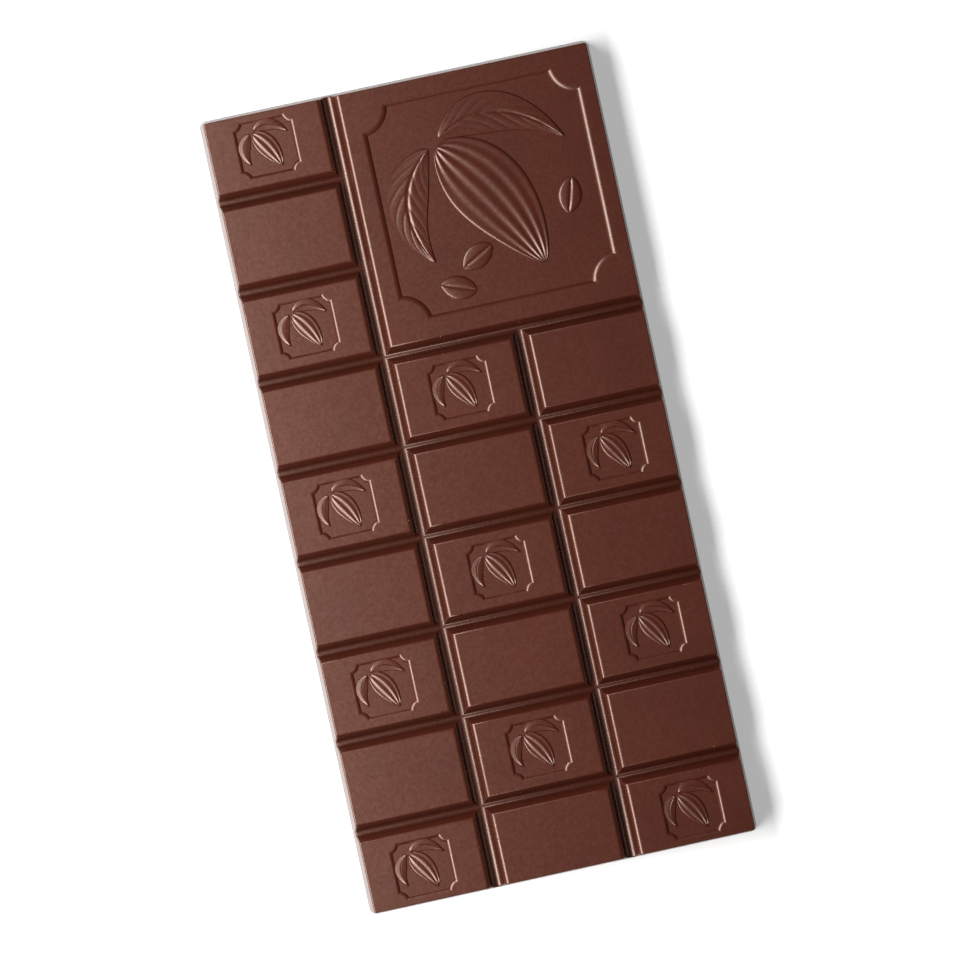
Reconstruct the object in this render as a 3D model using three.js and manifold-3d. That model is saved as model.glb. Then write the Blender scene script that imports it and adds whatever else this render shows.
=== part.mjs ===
// A moulded bar of dark chocolate: three columns and nine rows of tablets parted by grooves,
// with one large panel in place of the six tablets at one corner.
// Millimetres, +Z up, the flat back of the bar on Z = 0 and its centre at the origin.
// +Y runs along the bar towards the end with the large panel, +X across it.
import * as THREE from "three";
import { mergeVertices } from "three/addons/utils/BufferGeometryUtils.js";
import Module from "manifold-3d";

// The bar: its face is smaller than its back, so that it leaves the mould.
const FACE_WIDTH = 77;
const FACE_LENGTH = 158.8;
const THICKNESS = 7;
const DRAFT_ANGLE = 7;
const CORNER_RADIUS = 0.5;
const RIM_RADIUS = 0.3;
const BACK_EDGE = 0.3;

// The grid of tablets. Row 0 is at the end with the panel, column 0 is on the left.
const COLUMNS = 3;
const ROWS = 9;
const COLUMN_PITCH = 27.15;
const ROW_PITCH = 18.12;
const PANEL_FIRST_COLUMN = 1;
const PANEL_ROWS = 3;

// The grooves: a wide U along the bar and a narrower V across it, each with a round bottom and
// round shoulders, which the widths take in.
const GROOVE_DEPTH = 2.4;
const LONG_GROOVE = { width: 4.7, bottom: 1.3, shoulder: 1 };
const CROSS_GROOVE = { width: 4, bottom: 0.8, shoulder: 0.5 };

// The sunk fields that hold the relief, with a concave notch at each corner. Where a field's wall
// meets the face, it is rounded with the radius called shoulder.
const PANEL_FIELD = { width: 44.2, height: 44, notch: 5, depth: 0.5, shoulder: 1.4, arcSteps: 8 };
const TABLET_FIELD = { width: 12.2, height: 11.8, notch: 1.5, depth: 0.4, shoulder: 0.8, arcSteps: 4 };
const FIELD_WALL_SLOPE = 45;

// Cutters reach this far past what they cut, and added forms this far into the floor below them.
const REACH = 1;
const ROOT = 0.25;

const wasm = await Module();
wasm.setup();

const radians = THREE.MathUtils.degToRad;
const range = (count) => [...Array(count).keys()];

// The solid that a closed three.js geometry bounds.
function solidOf(geometry) {
  geometry.deleteAttribute("normal");
  geometry.deleteAttribute("uv");
  const merged = mergeVertices(geometry, 1e-5);
  const vertProperties = new Float32Array(merged.attributes.position.array);
  const triVerts = new Uint32Array(merged.index.array);
  return new wasm.Manifold(new wasm.Mesh({ numProp: 3, vertProperties, triVerts }));
}

// The closed geometry through a list of rings with the same number of points.
// Each ring runs anticlockwise as seen from the last one, and both ends close on their middles.
function loft(rings) {
  const count = rings[0].length;
  const points = rings.flat();
  const middleOf = (ring) => ring.reduce((sum, p) => sum.add(p), new THREE.Vector3());
  points.push(middleOf(rings[0]).divideScalar(count));
  points.push(middleOf(rings.at(-1)).divideScalar(count));
  const first = points.length - 2;
  const last = points.length - 1;
  const index = [];
  for (const k of range(count)) {
    const next = (k + 1) % count;
    for (const ring of range(rings.length - 1)) {
      const low = ring * count;
      const high = low + count;
      index.push(low + k, low + next, high + next);
      index.push(low + k, high + next, high + k);
    }
    const top = (rings.length - 1) * count;
    index.push(next, k, first);
    index.push(top + k, top + next, last);
  }
  return new THREE.BufferGeometry().setFromPoints(points).setIndex(index);
}

// A rectangle with rounded corners at height z, its sides grown outwards by grow.
function roundedRing(grow, z) {
  const x = FACE_WIDTH / 2 - CORNER_RADIUS;
  const y = FACE_LENGTH / 2 - CORNER_RADIUS;
  const steps = 4;
  const corners = [[x, -y], [x, y], [-x, y], [-x, -y]];
  return corners.flatMap(([cx, cy], corner) =>
    range(steps + 1).map((k) => {
      const angle = radians(90 * (corner - 1 + k / steps));
      const radius = CORNER_RADIUS + grow;
      return new THREE.Vector3(cx + radius * Math.cos(angle), cy + radius * Math.sin(angle), z);
    })
  );
}

// The whole block before anything is cut: back edge, drafted side, rounded rim and face.
function blockGeometry() {
  const slope = Math.tan(radians(DRAFT_ANGLE));
  const rings = [
    roundedRing(THICKNESS * slope - BACK_EDGE, 0),
    roundedRing((THICKNESS - BACK_EDGE) * slope, BACK_EDGE),
  ];
  const rimSteps = 3;
  const swing = 90 - DRAFT_ANGLE;
  for (const k of range(rimSteps + 1)) {
    const angle = radians(DRAFT_ANGLE + (swing * k) / rimSteps);
    const grow = RIM_RADIUS * (Math.cos(angle) - Math.tan(radians(swing / 2)));
    rings.push(roundedRing(grow, THICKNESS - RIM_RADIUS * (1 - Math.sin(angle))));
  }
  return loft(rings);
}

// One side of a groove's section from the middle of its bottom up to the face, as [across, depth].
// The straight wall touches the arc of the bottom on one side and the arc of the shoulder on
// the other, so the line between the two centres crosses it at an angle of lean.
function grooveSide({ width, bottom, shoulder }) {
  const half = width / 2;
  const drop = GROOVE_DEPTH - bottom - shoulder;
  const lean = Math.asin((bottom + shoulder) / Math.hypot(half, drop));
  const wall = Math.atan2(drop, half) + lean;
  const steps = 3;
  const arc = (across, depth, radius, from, to) =>
    range(steps + 1).map((k) => {
      const angle = from + ((to - from) * k) / steps;
      return [across + radius * Math.sin(angle), depth + radius * Math.cos(angle)];
    });
  return [
    ...arc(0, GROOVE_DEPTH - bottom, bottom, 0, wall),
    ...arc(half, shoulder, shoulder, wall - Math.PI, -Math.PI),
  ];
}

// A prism that cuts a groove from start to end, two points on its centre line.
function grooveCutter(groove, start, end) {
  const side = grooveSide(groove);
  const right = side.map(([across, below]) => new THREE.Vector2(across, -below));
  const left = side.slice(1).map(([across, below]) => new THREE.Vector2(-across, -below));
  const edge = side.at(-1)[0];
  const lid = [new THREE.Vector2(edge, REACH), new THREE.Vector2(-edge, REACH)];
  const section = new THREE.Shape([...right, ...lid, ...left.reverse()]);
  const run = new THREE.Vector2().subVectors(end, start);
  const geometry = new THREE.ExtrudeGeometry(section, {
    depth: run.length(),
    bevelEnabled: false,
  });
  geometry.rotateX(Math.PI / 2);
  geometry.rotateZ(Math.atan2(run.y, run.x) + Math.PI / 2);
  geometry.translate(start.x, start.y, THICKNESS);
  return solidOf(geometry);
}

// The grooves: those along the bar lie between columns, those across it between rows.
// Beside the panel, a cross groove ends in the long groove, and the next long groove starts below.
function grooves() {
  const sideX = FACE_WIDTH / 2 + THICKNESS;
  const endY = FACE_LENGTH / 2 + THICKNESS;
  const columnLine = (k) => (k + 1 - COLUMNS / 2) * COLUMN_PITCH;
  const rowLine = (k) => (ROWS / 2 - k - 1) * ROW_PITCH;
  const cutters = [];
  for (const k of range(COLUMNS - 1)) {
    const top = k >= PANEL_FIRST_COLUMN ? rowLine(PANEL_ROWS - 1) : endY;
    const start = new THREE.Vector2(columnLine(k), -endY);
    const end = new THREE.Vector2(columnLine(k), top);
    cutters.push(grooveCutter(LONG_GROOVE, start, end));
  }
  for (const k of range(ROWS - 1)) {
    const right = k < PANEL_ROWS - 1 ? columnLine(PANEL_FIRST_COLUMN - 1) : sideX;
    const start = new THREE.Vector2(-sideX, rowLine(k));
    const end = new THREE.Vector2(right, rowLine(k));
    cutters.push(grooveCutter(CROSS_GROOVE, start, end));
  }
  return cutters;
}

// A rectangle with a concave round notch at each corner, its wall grown outwards by grow.
function notchedRing(field, grow, z) {
  const x = field.width / 2;
  const y = field.height / 2;
  const radius = field.notch - grow;
  const tuck = Math.asin(grow / radius);
  const corners = [[x, -y], [x, y], [-x, y], [-x, -y]];
  return corners.flatMap(([cx, cy], corner) =>
    range(field.arcSteps + 1).map((k) => {
      const sweep = (-(Math.PI / 2 + 2 * tuck) * k) / field.arcSteps;
      const angle = Math.PI + tuck + sweep + (corner * Math.PI) / 2;
      return new THREE.Vector3(cx + radius * Math.cos(angle), cy + radius * Math.sin(angle), z);
    })
  );
}

// What is cut for a sunk field: a floor, a sloping wall and a round shoulder up to the face.
function fieldCutter(field) {
  const slope = radians(FIELD_WALL_SLOPE);
  const shoulderRing = (tilt) => {
    const grow = -field.shoulder * Math.sin(tilt);
    return notchedRing(field, grow, -field.shoulder * (1 - Math.cos(tilt)));
  };
  const wallHeight = field.depth - field.shoulder * (1 - Math.cos(slope));
  const floorGrow = -field.shoulder * Math.sin(slope) - wallHeight / Math.tan(slope);
  return loft([
    notchedRing(field, floorGrow, -field.depth),
    shoulderRing(slope),
    shoulderRing(slope / 2),
    shoulderRing(0),
    notchedRing(field, 0, REACH),
  ]);
}

// A long rounded form on the floor of a field, such as a leaf. It follows a curved middle line,
// half as wide at each point as halfWidth says, and rises over its floor as rise says, where
// side runs from -1 to 1 across it. Its foot is a little wider than its edge.
function lens({ line, halfWidth, rise, steps, sides, flare }) {
  const rings = range(steps + 1).map((k) => {
    const along = 0.5 - 0.49 * Math.cos((Math.PI * k) / steps);
    const at = line.getPoint(along);
    const tangent = line.getTangent(along);
    const across = new THREE.Vector2(-tangent.y, tangent.x);
    const half = halfWidth(along);
    const place = (side, foot, z) => {
      const reach = side * (half + foot);
      return new THREE.Vector3(at.x + across.x * reach, at.y + across.y * reach, z);
    };
    const top = range(sides + 1).map((j) => {
      const side = 1 - (2 * j) / sides;
      return place(side, 0, rise(along, side));
    });
    return [place(-1, flare, -ROOT), place(1, flare, -ROOT), ...top];
  });
  return loft(rings);
}

// The swelling of a form across its width: 1 on the middle line, 0 at the edge.
const swell = (side) => Math.sqrt(Math.max(0, 1 - side * side));

// A cocoa pod, its leaves and beans, as fractions of half the field's width. high is the level
// of the face above the floor. The pod has furrows along it, and a leaf has a sunk middle vein.
function motif(field, fine) {
  const unit = field.width / 2;
  const high = field.depth;
  const flare = 0.3 * high;
  const curve = (...points) =>
    new THREE.QuadraticBezierCurve(...points.map(([x, y]) => new THREE.Vector2(x * unit, y * unit)));
  const furrows = fine ? 5 : 3;
  const pod = lens({
    line: curve([-0.38, 0.5], [0.08, 0.1], [0.36, -0.7]),
    halfWidth: (t) => unit * 0.33 * Math.sin(Math.PI * t ** 0.85) ** 0.7,
    rise: (t, side) =>
      high * (0.45 + 0.5 * swell(side) * Math.sin(Math.PI * t) ** 0.5) -
      high * 0.3 * (0.5 + 0.5 * Math.cos(furrows * Math.PI * side)) * (1 - side ** 4),
    steps: fine ? 16 : 7,
    sides: 2 * furrows,
    flare,
  });
  const leaf = (line) =>
    lens({
      line,
      halfWidth: (t) => unit * 0.18 * Math.sin(Math.PI * t ** 0.8) ** 0.9,
      rise: (t, side) => high * (0.8 - 0.3 * Math.abs(side)) - (side === 0 ? 0.3 * high : 0),
      steps: fine ? 14 : 7,
      sides: fine ? 6 : 4,
      flare,
    });
  const bean = (x, y, turn) => {
    const reach = [0.16 * Math.cos(turn), 0.16 * Math.sin(turn)];
    return lens({
      line: curve([x - reach[0], y - reach[1]], [x, y], [x + reach[0], y + reach[1]]),
      halfWidth: (t) => unit * 0.1 * Math.sin(Math.PI * t) ** 0.6,
      rise: (t, side) => high * (0.35 + 0.5 * swell(side)) - (side === 0 ? 0.3 * high : 0),
      steps: 8,
      sides: 6,
      flare,
    });
  };
  const forms = [
    pod,
    leaf(curve([-0.34, 0.58], [0.2, 0.94], [0.76, 0.36])),
    leaf(curve([-0.46, 0.5], [-0.94, 0.1], [-0.6, -0.5])),
  ];
  if (fine) {
    forms.push(bean(-0.22, -0.52, 0.5), bean(-0.44, -0.76, -0.35), bean(0.7, -0.16, 1.3));
  }
  return forms;
}

// The bar, in one piece.
function barSolid() {
  let bar = solidOf(blockGeometry());
  for (const cutter of grooves()) {
    bar = bar.subtract(cutter);
  }
  const decorate = (field, x, y, fine) => {
    const move = (geometry, z) => solidOf(geometry.translate(x, y, z));
    bar = bar.subtract(move(fieldCutter(field), THICKNESS));
    for (const form of motif(field, fine)) {
      bar = bar.add(move(form, THICKNESS - field.depth));
    }
  };
  const inPanel = (column, row) => column >= PANEL_FIRST_COLUMN && row < PANEL_ROWS;
  for (const column of range(COLUMNS)) {
    for (const row of range(ROWS)) {
      if ((column + row) % 2 === 0 && !inPanel(column, row)) {
        const x = (column - (COLUMNS - 1) / 2) * COLUMN_PITCH;
        const y = ((ROWS - 1) / 2 - row) * ROW_PITCH;
        decorate(TABLET_FIELD, x, y, false);
      }
    }
  }
  const panelLeft = (PANEL_FIRST_COLUMN - COLUMNS / 2) * COLUMN_PITCH + LONG_GROOVE.width / 2;
  const panelFoot = (ROWS / 2 - PANEL_ROWS) * ROW_PITCH + CROSS_GROOVE.width / 2;
  const panelX = (panelLeft + FACE_WIDTH / 2) / 2;
  const panelY = (panelFoot + FACE_LENGTH / 2) / 2;
  decorate(PANEL_FIELD, panelX, panelY, true);
  return bar;
}

// A three.js geometry with the faces of a solid.
function geometryOf(solid) {
  const mesh = solid.getMesh();
  const geometry = new THREE.BufferGeometry();
  geometry.setAttribute("position", new THREE.BufferAttribute(mesh.vertProperties, 3));
  geometry.setIndex(new THREE.BufferAttribute(mesh.triVerts, 1));
  geometry.computeVertexNormals();
  return geometry;
}

const darkChocolate = new THREE.MeshStandardMaterial({
  color: 0x5a332a,
  roughness: 0.45,
  metalness: 0,
});

const bar = new THREE.Mesh(geometryOf(barSolid()), darkChocolate);
bar.name = "bar";

const chocolateBar = new THREE.Group();
chocolateBar.add(bar);

export default chocolateBar;
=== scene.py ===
"""A moulded bar of dark chocolate with its face up on a pale table, in soft light from the left.

The bar is one piece. It is made as it leaves the mould: a drafted block, parted into tablets by
grooves, with sunk fields that hold a cocoa pod, its leaves and beans.
"""

import bpy
import numpy as np
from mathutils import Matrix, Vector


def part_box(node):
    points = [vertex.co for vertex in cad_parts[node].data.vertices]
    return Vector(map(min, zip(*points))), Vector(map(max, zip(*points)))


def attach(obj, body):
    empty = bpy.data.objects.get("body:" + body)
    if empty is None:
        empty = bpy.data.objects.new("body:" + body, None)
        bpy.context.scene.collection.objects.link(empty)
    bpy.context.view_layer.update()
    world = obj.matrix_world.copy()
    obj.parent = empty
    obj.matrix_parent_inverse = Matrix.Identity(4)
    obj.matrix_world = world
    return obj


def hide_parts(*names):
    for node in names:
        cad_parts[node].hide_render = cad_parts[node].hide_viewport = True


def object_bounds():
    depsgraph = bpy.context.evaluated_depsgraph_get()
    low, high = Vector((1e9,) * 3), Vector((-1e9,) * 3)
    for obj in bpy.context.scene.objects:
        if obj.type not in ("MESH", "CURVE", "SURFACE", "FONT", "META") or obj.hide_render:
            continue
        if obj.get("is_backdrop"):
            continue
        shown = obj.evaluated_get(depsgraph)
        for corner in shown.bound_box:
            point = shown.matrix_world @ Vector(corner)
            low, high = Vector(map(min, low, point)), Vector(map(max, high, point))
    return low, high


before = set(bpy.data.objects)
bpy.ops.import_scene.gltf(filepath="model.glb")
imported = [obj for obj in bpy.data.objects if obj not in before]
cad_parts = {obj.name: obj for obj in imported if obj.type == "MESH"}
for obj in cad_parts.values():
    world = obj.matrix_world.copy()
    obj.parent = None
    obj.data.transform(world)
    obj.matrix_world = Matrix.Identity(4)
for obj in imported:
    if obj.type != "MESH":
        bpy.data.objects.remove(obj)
cad_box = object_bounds()
scene = bpy.context.scene

# The block of chocolate before anything is pressed into it.
# It is cast in one pour, its back is the open side of the mould, and its sides lean inwards
# so that it drops out when the mould is turned over.
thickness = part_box("bar")[1].z
face_width = 0.0770
face_length = 0.1588
draft_angle = np.radians(7)
corner_radius = 0.0005
corner_points = 13
rim_radius = 0.0003
rim_points = 10
back_edge = 0.0003
back_edge_points = 5


def lofted(name, rings):
    """The closed mesh through an array of rings of points, of shape (rings, points, 3). Each
    point joins its neighbour on the ring and both their twins on the next ring, and the first
    and the last ring are flat faces."""
    count, points = rings.shape[:2]
    corner = np.arange(count * points).reshape(count, points)
    beside = np.roll(corner, -1, axis=1)
    above = np.roll(corner, -1, axis=0)
    above_beside = np.roll(beside, -1, axis=0)
    quads = np.stack([corner, beside, above_beside, above], axis=-1)
    faces = quads[:-1].reshape(-1, 4).tolist()
    faces += [corner[0, ::-1].tolist(), corner[-1].tolist()]
    mesh = bpy.data.meshes.new(name)
    mesh.from_pydata(rings.reshape(-1, 3).tolist(), [], faces)
    form = bpy.data.objects.new(name, mesh)
    scene.collection.objects.link(form)
    return form


def rounded_rings(grow, height):
    """Rings of a rectangle with round corners. A corner point is the corner's centre plus the
    radius, grown outwards by grow, along an angle that sweeps a quarter turn."""
    sweep = np.radians(np.linspace(-90, 0, corner_points))
    angle = sweep + np.radians(90) * np.arange(4)[:, None]
    centre_x = (face_width / 2 - corner_radius) * np.array([1, 1, -1, -1])[:, None]
    centre_y = (face_length / 2 - corner_radius) * np.array([-1, 1, 1, -1])[:, None]
    radius = (corner_radius + grow)[:, None, None]
    x = centre_x + radius * np.cos(angle)
    y = centre_y + radius * np.sin(angle)
    z = np.broadcast_to(height[:, None, None], x.shape)
    return np.stack([x, y, z], axis=-1).reshape(len(grow), -1, 3)


slope = np.tan(draft_angle)
rim_tangent = np.tan((np.pi / 2 - draft_angle) / 2)
back_turn = np.linspace(0, np.pi / 2, back_edge_points)
back_grow = thickness * slope - back_edge * (1 - np.sin(back_turn)) - back_edge * slope
back_height = back_edge * (1 - np.cos(back_turn))
rim_turn = np.linspace(draft_angle, np.pi / 2, rim_points)
rim_grow = rim_radius * (np.cos(rim_turn) - rim_tangent)
rim_height = thickness - rim_radius * (1 - np.sin(rim_turn))
block = lofted(
    "chocolate_bar",
    rounded_rings(np.append(back_grow, rim_grow), np.append(back_height, rim_height)),
)

# The grooves along which the bar snaps: a wide U along the bar and a narrower V across it.
# Both have round bottoms and round shoulders. Cross grooves beside the large panel end in the long
# groove, and the second long groove starts below the panel. Where a groove runs out of the side,
# its edge is as round as the rim of the face.
columns = 3
rows = 9
column_pitch = 0.02715
row_pitch = 0.01812
panel_rows = 3
groove_depth = 0.0024
groove_arc_points = 15
long_groove = {"width": 0.0047, "bottom": 0.0013, "shoulder": 0.0010}
cross_groove = {"width": 0.0040, "bottom": 0.0008, "shoulder": 0.0005}
flare_degrees = 75
flare_points = 6
reach = 0.001


def groove_section(groove, grow):
    """A groove's section, as (across, depth) pairs: the arc of the bottom, then the arc of the
    shoulder, which the straight wall between them touches, then a lid above the face and the
    mirror image. Grown by grow, the bottom's radius gains what the shoulder's loses."""
    half, bottom, shoulder = groove["width"] / 2, groove["bottom"], groove["shoulder"]
    drop = groove_depth - bottom - shoulder
    lean = np.arcsin((bottom + shoulder) / np.hypot(half, drop))
    wall = np.arctan2(drop, half) + lean
    low = np.linspace(0, wall, groove_arc_points)
    high = np.linspace(wall - np.pi, -np.pi, groove_arc_points)
    across = np.append((bottom + grow) * np.sin(low), half + (shoulder - grow) * np.sin(high))
    low_depth = groove_depth - bottom + (bottom + grow) * np.cos(low)
    high_depth = shoulder + (shoulder - grow) * np.cos(high)
    profile = np.stack([across, np.append(low_depth, high_depth)], axis=-1)
    lid = [[half, -reach], [-half, -reach]]
    return np.concatenate([profile, lid, profile[:0:-1] * [-1, 1]])


def groove_cutter(name, groove, start, end, opens):
    """The form that leaves a groove from start to end, two points (x, y) on its middle line. At
    an end that opens at the side of the bar, the section grows along an arc of the rim's radius,
    and it leans outwards with its depth, as the side does."""
    run = np.subtract(end, start)
    along = run / np.hypot(*run)
    across = np.array([along[1], -along[0]])
    turn = np.radians(np.linspace(0, flare_degrees, flare_points))
    outward = rim_radius * (np.sin(turn) - rim_tangent)
    widening = rim_radius * (1 - np.cos(turn))
    rings = []
    for place, sign, is_open in [(start, -1, opens[0]), (end, 1, opens[1])]:
        stations = [(0.0, 0.0, 0.0)]
        if is_open:
            stations = [(step, grow, slope) for step, grow in zip(outward, widening)]
            stations.append((outward[-1] + reach, widening[-1], slope))
        for step, grow, lean in stations[::sign]:
            section = groove_section(groove, grow)
            shift = sign * (step + lean * section[:, 1])
            flat = np.array(place) + shift[:, None] * along - section[:, :1] * across
            rings.append(np.column_stack([flat, thickness - section[:, 1]]))
    return lofted(name, np.array(rings))


side_x = face_width / 2
end_y = face_length / 2
column_line = (np.arange(columns - 1) + 1 - columns / 2) * column_pitch
row_line = (rows / 2 - 1 - np.arange(rows - 1)) * row_pitch
hollows = []
for k, x in enumerate(column_line):
    whole = k == 0
    ends = (x, -end_y), (x, end_y if whole else row_line[panel_rows - 1])
    hollows.append(groove_cutter(f"long_groove_{k}", long_groove, *ends, (True, whole)))
for k, y in enumerate(row_line):
    whole = k >= panel_rows - 1
    ends = (-side_x, y), (side_x if whole else column_line[0], y)
    hollows.append(groove_cutter(f"cross_groove_{k}", cross_groove, *ends, (True, whole)))

# The sunk fields of the relief, pressed into the large panel and into every other tablet.
# Each has a level floor, a sloping wall with a round shoulder, and a concave notch at each
# corner, as an old label has.
panel_field = {
    "width": 0.0442,
    "height": 0.0440,
    "notch": 0.0050,
    "depth": 0.00050,
    "shoulder": 0.0014,
}
tablet_field = {
    "width": 0.0122,
    "height": 0.0118,
    "notch": 0.0015,
    "depth": 0.00040,
    "shoulder": 0.0008,
}
wall_angle = np.radians(45)
notch_points = 17
shoulder_points = 9


def notched_rings(field, grow, height):
    """Rings of a rectangle with a concave round notch at each corner. A notch's centre is the
    rectangle's corner, and its arc runs between the two sides, both grown outwards by grow."""
    radius = (field["notch"] - grow)[:, None, None]
    tuck = np.arcsin(grow[:, None, None] / radius)
    share = np.linspace(0, 1, notch_points)
    corner = np.arange(4)[:, None]
    angle = np.pi + tuck - (np.pi / 2 + 2 * tuck) * share + corner * np.pi / 2
    centre_x = field["width"] / 2 * np.array([1, 1, -1, -1])[:, None]
    centre_y = field["height"] / 2 * np.array([-1, 1, 1, -1])[:, None]
    x = centre_x + radius * np.cos(angle)
    y = centre_y + radius * np.sin(angle)
    z = np.broadcast_to(height[:, None, None], x.shape)
    return np.stack([x, y, z], axis=-1).reshape(len(grow), -1, 3)


def wall_profile(field):
    """The section of a field's wall from its floor up past the face, as grow and height: a
    straight slope, then a round shoulder up to the face."""
    head_turn = np.linspace(wall_angle, 0, shoulder_points)
    head_grow = -field["shoulder"] * np.sin(head_turn)
    head_height = -field["shoulder"] * (1 - np.cos(head_turn))
    run = (head_height[0] + field["depth"]) / np.tan(wall_angle)
    grow = np.concatenate([[head_grow[0] - run], head_grow, [0]])
    height = np.concatenate([[-field["depth"]], head_height, [reach]])
    return grow, height


def field_cutter(name, field):
    """The form that leaves a sunk field, with its wall section carried round its outline."""
    grow, height = wall_profile(field)
    return lofted(name, notched_rings(field, grow, height))


# The relief on the floor of a field: a ripe pod, two leaves and, on the panel, loose beans.
# Each is a form that follows a curved middle line. Its places and widths are shares of half the
# field's width, and its height over the floor is a share of the field's depth, so that nothing
# stands above the face.
root = 0.00025
tip_gap = 0.005
pod = {"width": 0.33, "edge": 0.45, "crown": 0.5, "furrow": 0.3}
leaf = {"width": 0.18, "ridge": 0.85, "fall": 0.3, "vein": 0.35, "vein_width": 0.09}
side_vein = {"count": 7, "slant": 2.2, "depth": 0.16, "width": 0.12}
bean = {"width": 0.1, "reach": 0.16, "edge": 0.35, "crown": 0.5, "crease": 0.35}
crease_width = 0.16
pod_line = [(-0.38, 0.5), (0.08, 0.1), (0.36, -0.7)]
leaf_lines = [
    [(-0.34, 0.58), (0.2, 0.94), (0.76, 0.36)],
    [(-0.46, 0.5), (-0.94, 0.1), (-0.6, -0.5)],
]
bean_spots = [(-0.22, -0.52, 0.5), (-0.44, -0.76, -0.35), (0.7, -0.16, 1.3)]


def bent(points, along):
    """Points and directions of a quadratic curve through three control points, by its formula
    (1 - t) squared, 2 t (1 - t) and t squared."""
    first, middle, last = np.array(points)
    t = along[:, None]
    at = (1 - t) ** 2 * first + 2 * t * (1 - t) * middle + t**2 * last
    toward = 2 * (1 - t) * (middle - first) + 2 * t * (last - middle)
    return at, toward / np.linalg.norm(toward, axis=1, keepdims=True)


def lens(name, points, half_width, rise, steps, sides, flare):
    """A long rounded form on a floor. Along it t runs from tip to tip, from near 0 to near 1, and
    across it s runs from -1 to 1: the point (t, s) lies s half widths from the middle line, at
    the height that rise gives. Its foot is wider by flare and lies root under the floor."""
    along = 0.5 - (0.5 - tip_gap) * np.cos(np.linspace(0, np.pi, steps + 1))
    at, toward = bent(points, along)
    across = np.stack([-toward[:, 1], toward[:, 0]], axis=-1)
    side = np.linspace(1, -1, sides + 1)
    half = half_width(along)[:, None]
    reach_out = np.concatenate([-half - flare, half + flare, half * side], axis=1)
    foot = np.full((steps + 1, 2), -root)
    crown = np.broadcast_to(rise(along[:, None], side), (steps + 1, sides + 1))
    height = np.concatenate([foot, crown], axis=1)
    flat = at[:, None, :] + across[:, None, :] * reach_out[..., None]
    return lofted(name, np.concatenate([flat, height[..., None]], axis=-1))


def swell(side):
    """The swelling of a form across its width, a half circle from edge to edge."""
    return np.sqrt(np.clip(1 - side**2, 0, 1))


def motif(name, field, fine):
    """The forms of one relief, about the middle of their field. A fine one has more furrows,
    side veins on its leaves, and beans."""
    unit = field["width"] / 2
    high = field["depth"]
    flare = 0.9 * high
    furrows = 5 if fine else 3
    size = 3 if fine else 1

    def pod_rise(t, side):
        """Half circle across, with furrows along the pod by a cosine wave across it."""
        crown = pod["edge"] + pod["crown"] * swell(side) * np.sin(np.pi * t) ** 0.5
        wave = 0.5 + 0.5 * np.cos(furrows * np.pi * side)
        return high * (crown - pod["furrow"] * wave * (1 - side**4))

    def leaf_rise(t, side):
        """A roof that falls to both edges, less a middle vein and slanting side veins, which
        both fade by a sine wave along the leaf towards its tips."""
        fading = np.sin(np.pi * t)
        vein = leaf["vein"] * np.exp(-((side / leaf["vein_width"]) ** 2)) * fading**0.5
        slant = (side_vein["count"] * t - side_vein["slant"] * np.abs(side)) % 1 - 0.5
        twig = side_vein["depth"] * np.exp(-((slant / side_vein["width"]) ** 2))
        twigs = twig * (1 - side**4) * fading if fine else 0
        return high * (leaf["ridge"] - leaf["fall"] * np.abs(side) - vein - twigs)

    def bean_rise(t, side):
        """Half ellipse along and across, less a crease along the middle."""
        crown = bean["edge"] + bean["crown"] * swell(side) * np.sin(np.pi * t) ** 0.5
        return high * (crown - bean["crease"] * np.exp(-((side / crease_width) ** 2)))

    forms = [
        lens(
            name + "_pod",
            unit * np.array(pod_line),
            lambda t: unit * pod["width"] * np.sin(np.pi * t**0.85) ** 0.7,
            pod_rise,
            30 * size,
            20 * size,
            flare,
        )
    ]
    for k, points in enumerate(leaf_lines):
        form = lens(
            f"{name}_leaf_{k}",
            unit * np.array(points),
            lambda t: unit * leaf["width"] * np.sin(np.pi * t**0.8) ** 0.9,
            leaf_rise,
            30 * size,
            14 * size,
            flare,
        )
        forms.append(form)
    for k, (x, y, turn) in enumerate(bean_spots if fine else []):
        arm = bean["reach"] * np.array([np.cos(turn), np.sin(turn)])
        middle = np.array([x, y])
        form = lens(
            f"{name}_bean_{k}",
            unit * np.array([middle - arm, middle, middle + arm]),
            lambda t: unit * bean["width"] * np.sin(np.pi * t) ** 0.6,
            bean_rise,
            36,
            24,
            flare,
        )
        forms.append(form)
    return forms


def placed(form, x, y, z):
    """The form with its mesh moved to a place, its object still at the origin."""
    count = len(form.data.vertices)
    points = np.empty(count * 3)
    form.data.vertices.foreach_get("co", points)
    points = points.reshape(-1, 3) + [x, y, z]
    form.data.vertices.foreach_set("co", points.ravel())
    form.data.update()
    return form


reliefs = []
panel_left = column_line[0] + long_groove["width"] / 2
panel_foot = row_line[panel_rows - 1] + cross_groove["width"] / 2
panel_place = ((panel_left + face_width / 2) / 2, (panel_foot + face_length / 2) / 2)
sites = [("panel", panel_field, panel_place, True)]
for column in range(columns):
    for row in range(rows):
        in_panel = column > 0 and row < panel_rows
        if (column + row) % 2 == 0 and not in_panel:
            x = (column - (columns - 1) / 2) * column_pitch
            y = ((rows - 1) / 2 - row) * row_pitch
            sites.append((f"tablet_{column}_{row}", tablet_field, (x, y), False))
for name, field, (x, y), fine in sites:
    hollows.append(placed(field_cutter(name + "_field", field), x, y, thickness))
    for form in motif(name, field, fine):
        reliefs.append(placed(form, x, y, thickness - field["depth"]))

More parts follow.
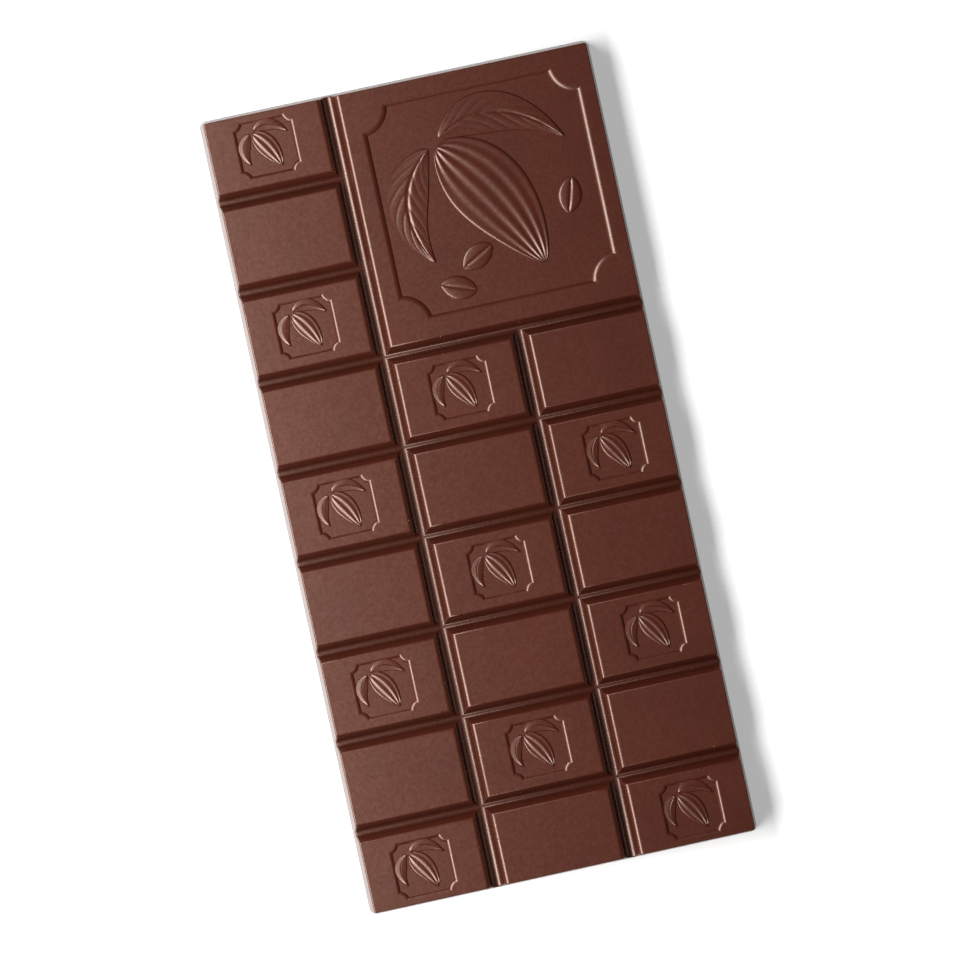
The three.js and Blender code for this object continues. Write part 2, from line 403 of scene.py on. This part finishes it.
# Small wear: chips knocked out of the rim and the edges of the tablets, and pits in the back.
# The pits are bubbles of air that rose to the open side of the mould while the bar was liquid.
rng = np.random.default_rng(11)
rim_chips = 44
rim_chip_sizes = (0.00010, 0.00026)
groove_chips = 36
groove_chip_sizes = (0.00008, 0.00018)
chip_roughness = 0.6
long_chip_inset = 0.0004
cross_chip_inset = 0.0002
pits = 34
pit_sizes = (0.0003, 0.0011)
pit_roughness = 0.1
lump_rings = 7
lump_sides = 12


def lump(name, centre, radii, rough):
    """A closed lump about a centre: a point on it is the centre plus radii times the direction
    of a grid of latitudes and longitudes, times one plus a random part up to half of rough."""
    latitude = np.radians(np.linspace(-75, 75, lump_rings))[:, None]
    longitude = np.radians(np.arange(lump_sides) * 360 / lump_sides)[None, :]
    uneven = 1 + rough * (rng.random((lump_rings, lump_sides)) - 0.5)
    x = np.cos(latitude) * np.cos(longitude) * uneven
    y = np.cos(latitude) * np.sin(longitude) * uneven
    z = np.sin(latitude) * uneven
    return lofted(name, np.stack([x, y, z], axis=-1) * radii + centre)


for k in range(rim_chips):
    along_side = rng.random() < 0.67
    side = rng.choice([-1, 1])
    size = rng.uniform(*rim_chip_sizes)
    away = rng.uniform(0.2, 0.6) * size
    level = thickness + 0.3 * size
    if along_side:
        spot = (side * (side_x + away), rng.uniform(-end_y, end_y), level)
    else:
        spot = (rng.uniform(-side_x, side_x), side * (end_y + away), level)
    radii = size * rng.uniform(0.7, 1.7, 3)
    hollows.append(lump(f"rim_chip_{k}", spot, radii, chip_roughness))
for k in range(groove_chips):
    size = rng.uniform(*groove_chip_sizes)
    side = rng.choice([-1, 1])
    if rng.random() < 0.5:
        x = rng.choice(column_line) + side * (long_groove["width"] / 2 - long_chip_inset)
        y = rng.uniform(-end_y, row_line[panel_rows - 1])
    else:
        x = rng.uniform(-side_x, side_x)
        y = rng.choice(row_line[panel_rows - 1 :])
        y += side * (cross_groove["width"] / 2 - cross_chip_inset)
    radii = size * rng.uniform(0.7, 1.8, 3)
    hollows.append(lump(f"groove_chip_{k}", (x, y, thickness), radii, chip_roughness))
for k in range(pits):
    width = rng.uniform(*pit_sizes)
    spot = rng.uniform(-1, 1, 2) * (0.9 * side_x, 0.95 * end_y)
    radii = np.array([width, width * rng.uniform(0.8, 1.2), 0.5 * width])
    hollows.append(lump(f"pit_{k}", (*spot, -0.2 * width), radii, pit_roughness))

# The bar in one piece, once the mould's forms have been cut and added.
# Its flat faces keep their own straight normals, and only the round edges are blended.
sharp_angle = np.radians(35)


def combined(piece, operation, forms):
    """The piece after one solid operation with all of the forms, which are then removed."""
    group = bpy.data.collections.new(operation)
    for form in forms:
        group.objects.link(form)
    modifier = piece.modifiers.new(operation, "BOOLEAN")
    modifier.operation = operation
    modifier.operand_type = "COLLECTION"
    modifier.collection = group
    modifier.solver = "MANIFOLD"
    depsgraph = bpy.context.evaluated_depsgraph_get()
    mesh = bpy.data.meshes.new_from_object(piece.evaluated_get(depsgraph))
    piece.modifiers.clear()
    piece.data = mesh
    for form in forms:
        bpy.data.objects.remove(form)
    bpy.data.collections.remove(group)
    return piece


bar = combined(block, "DIFFERENCE", hollows)
bar = combined(bar, "UNION", reliefs)
bar.data.shade_smooth()
bar.data.set_sharp_from_angle(angle=sharp_angle)
weighted = bar.modifiers.new("Weighted normals", "WEIGHTED_NORMAL")
weighted.mode = "FACE_AREA"
weighted.keep_sharp = True
weighted.weight = 100

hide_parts("bar")
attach(bar, "root")

# Tempered dark chocolate: red-brown, with the satin skin that a clean mould gives.
# Fine grain breaks up the sheen, and the tone drifts a little from place to place. Low in the
# grooves, and so also on the sides and back, the colour is darkened as painted shade, and the
# gloss is a little higher. The back was open to the air as it set, so it is duller than the face.
dark_tone = (0.0520, 0.0088, 0.0039, 1)
pale_tone = (0.0610, 0.0104, 0.0046, 1)
# Painted shade: the base colour is multiplied by this low in the grooves, and on the sides and
# back.
groove_painted_shade = (0.70, 0.67, 0.65, 1)
groove_gloss = -0.02
groove_low = 0.0054
groove_high = 0.0063
face_roughness = (0.31, 0.37)
back_dullness = 0.2
chocolate = bpy.data.materials.new("tempered_dark_chocolate")
chocolate.use_nodes = True
nodes = chocolate.node_tree.nodes
links = chocolate.node_tree.links
shader = nodes["Principled BSDF"]
place = nodes.new("ShaderNodeTexCoord")


def noise(scale, detail):
    """A noise texture over the object's own coordinates, scale in features per metre."""
    texture = nodes.new("ShaderNodeTexNoise")
    texture.inputs["Scale"].default_value = scale
    texture.inputs["Detail"].default_value = detail
    links.new(place.outputs["Object"], texture.inputs["Vector"])
    return texture.outputs["Fac"]


def mapped(value, start, end, low, high):
    """The value mapped in proportion from start..end on to low..high, and held outside."""
    node = nodes.new("ShaderNodeMapRange")
    node.inputs["From Min"].default_value = start
    node.inputs["From Max"].default_value = end
    node.inputs["To Min"].default_value = low
    node.inputs["To Max"].default_value = high
    links.new(value, node.inputs["Value"])
    return node.outputs["Result"]


def height_of(source):
    """The Z of the object's own coordinates or of its normal."""
    parts = nodes.new("ShaderNodeSeparateXYZ")
    links.new(place.outputs[source], parts.inputs["Vector"])
    return parts.outputs["Z"]


def summed(first, second):
    """The sum of two values."""
    total = nodes.new("ShaderNodeMath")
    links.new(first, total.inputs[0])
    links.new(second, total.inputs[1])
    return total.outputs["Value"]


def bump(strength, distance, height):
    """A bump of the surface by a height from 0 to 1, as deep as distance in metres."""
    node = nodes.new("ShaderNodeBump")
    node.inputs["Strength"].default_value = strength
    node.inputs["Distance"].default_value = distance
    links.new(height, node.inputs["Height"])
    return node


tone = nodes.new("ShaderNodeMix")
tone.data_type = "RGBA"
tone.inputs["A"].default_value = dark_tone
tone.inputs["B"].default_value = pale_tone
links.new(mapped(noise(90, 3), 0.3, 0.7, 0, 1), tone.inputs["Factor"])

# Painted shade: below a little under the face, in the grooves and on the sides and back, the
# colour is multiplied darker.
deep = nodes.new("ShaderNodeMix")
deep.data_type = "RGBA"
deep.blend_type = "MULTIPLY"
deep.inputs["B"].default_value = groove_painted_shade
painted_shade_mask = mapped(height_of("Object"), groove_low, groove_high, 1, 0)
links.new(painted_shade_mask, deep.inputs["Factor"])
links.new(tone.outputs["Result"], deep.inputs["A"])
links.new(deep.outputs["Result"], shader.inputs["Base Color"])

skin = mapped(noise(1500, 4), 0.3, 0.7, *face_roughness)
at_groove = mapped(height_of("Object"), groove_low, groove_high, groove_gloss, 0)
at_back = mapped(height_of("Normal"), -0.6, -0.9, 0, back_dullness)
links.new(summed(skin, summed(at_groove, at_back)), shader.inputs["Roughness"])
shader.inputs["IOR"].default_value = 1.81
shader.inputs["Specular Tint"].default_value = (1, 0.77, 0.65, 1)

grain = bump(0.5, 0.00002, noise(3200, 3))
waves = bump(0.3, 0.0001, noise(220, 2))
links.new(waves.outputs["Normal"], grain.inputs["Normal"])
links.new(grain.outputs["Normal"], shader.inputs["Normal"])
bar.data.materials.clear()
bar.data.materials.append(chocolate)

# The table: a plain pale board, lit faintly from within so that it stays white.
# It lies a hair below the back of the bar, so that neither face shows through the other.
table_half = 1.5
table_top = -0.00004
table_mesh = bpy.data.meshes.new("table")
table_corners = [(-1, -1), (1, -1), (1, 1), (-1, 1)]
table_points = [(x * table_half, y * table_half, table_top) for x, y in table_corners]
table_mesh.from_pydata(table_points, [], [(0, 1, 2, 3)])
table = bpy.data.objects.new("table", table_mesh)
scene.collection.objects.link(table)
pale = bpy.data.materials.new("pale_board")
pale.use_nodes = True
board = pale.node_tree.nodes["Principled BSDF"]
board.inputs["Base Color"].default_value = (0.72, 0.72, 0.71, 1)
board.inputs["Roughness"].default_value = 0.8
board.inputs["Emission Color"].default_value = (1, 1, 1, 1)
board.inputs["Emission Strength"].default_value = 0.4
table_mesh.materials.append(pale)
table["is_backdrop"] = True

# The light: a long soft window close by on the left, above the bar, and a faint room.
# The window is so near that the left of the bar is brighter than the right.
window_place = np.array([-0.150, 0.008, 0.200])
window_length = 0.44
window_height = 0.11
window_power = 1.90
window_light = bpy.data.lights.new("window", "AREA")
window_light.shape = "RECTANGLE"
window_light.size = window_length
window_light.size_y = window_height
window_light.energy = window_power
window = bpy.data.objects.new("window", window_light)
window.location = window_place
scene.collection.objects.link(window)

# It tips by the angle from straight down, then turns about the upright axis to face the bar.
tip = np.arctan2(np.hypot(window_place[0], window_place[1]), window_place[2])
window.rotation_euler = (tip, 0, np.arctan2(window_place[0], -window_place[1]))
world = bpy.data.worlds.new("room")
scene.world = world
world.use_nodes = True
room = world.node_tree.nodes["Background"]
room.inputs["Color"].default_value = (0.9, 0.93, 1, 1)
room.inputs["Strength"].default_value = 0.04

# The camera looks down from almost straight above, a little to the left of the bar.
# Its long lens keeps the sides of the bar almost parallel.
camera_place = (-0.03451, 0.02422, 1.000)
camera_degrees = (-0.964, -2.238, -12.216)
camera_data = bpy.data.cameras.new("camera")
camera_data.sensor_width = 36
camera_data.lens = 189.44
camera_data.clip_start = 0.01
camera = bpy.data.objects.new("camera", camera_data)
camera.location = camera_place
camera.rotation_euler = np.radians(camera_degrees)
scene.collection.objects.link(camera)
scene.camera = camera
scene.view_settings.view_transform = "Standard"

size = {"cad": cad_box, "visual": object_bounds()}
